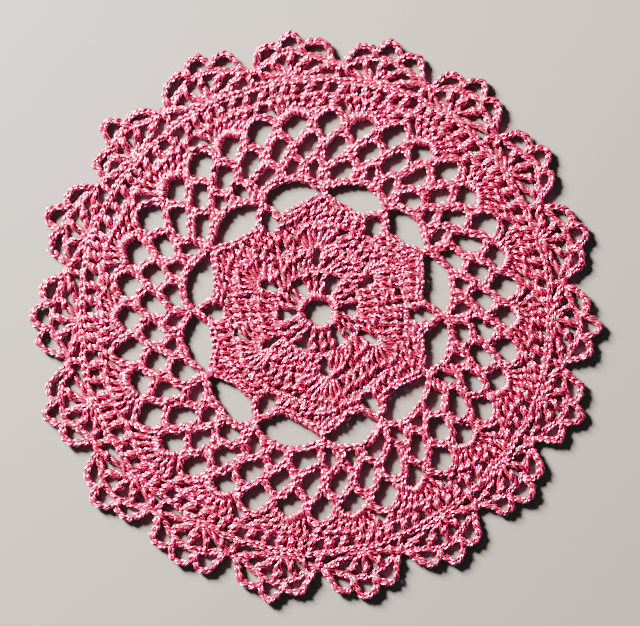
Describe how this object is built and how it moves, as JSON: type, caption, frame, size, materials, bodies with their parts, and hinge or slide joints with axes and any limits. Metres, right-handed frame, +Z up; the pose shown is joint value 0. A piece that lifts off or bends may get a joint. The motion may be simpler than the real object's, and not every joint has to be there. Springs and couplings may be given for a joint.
{
  "type": "crocheted lace doily",
  "caption": "Round crocheted cotton doily that lies flat, with a petalled middle, long loops, a band of net, fans and a scalloped edge of picots.",
  "frame": {"origin": "on the surface that the doily lies on, under the middle of its outline", "axes": "+Z up out of the lace, +Y towards the top of the doily as seen from above, +X to the right"},
  "size_m": [0.1592, 0.1596, 0.002],
  "materials": {
    "lace": "pink mercerised cotton thread, soft sheen"
  },
  "bodies": {
    "root": {"doily": "lace"}
  },
  "joints": []
}
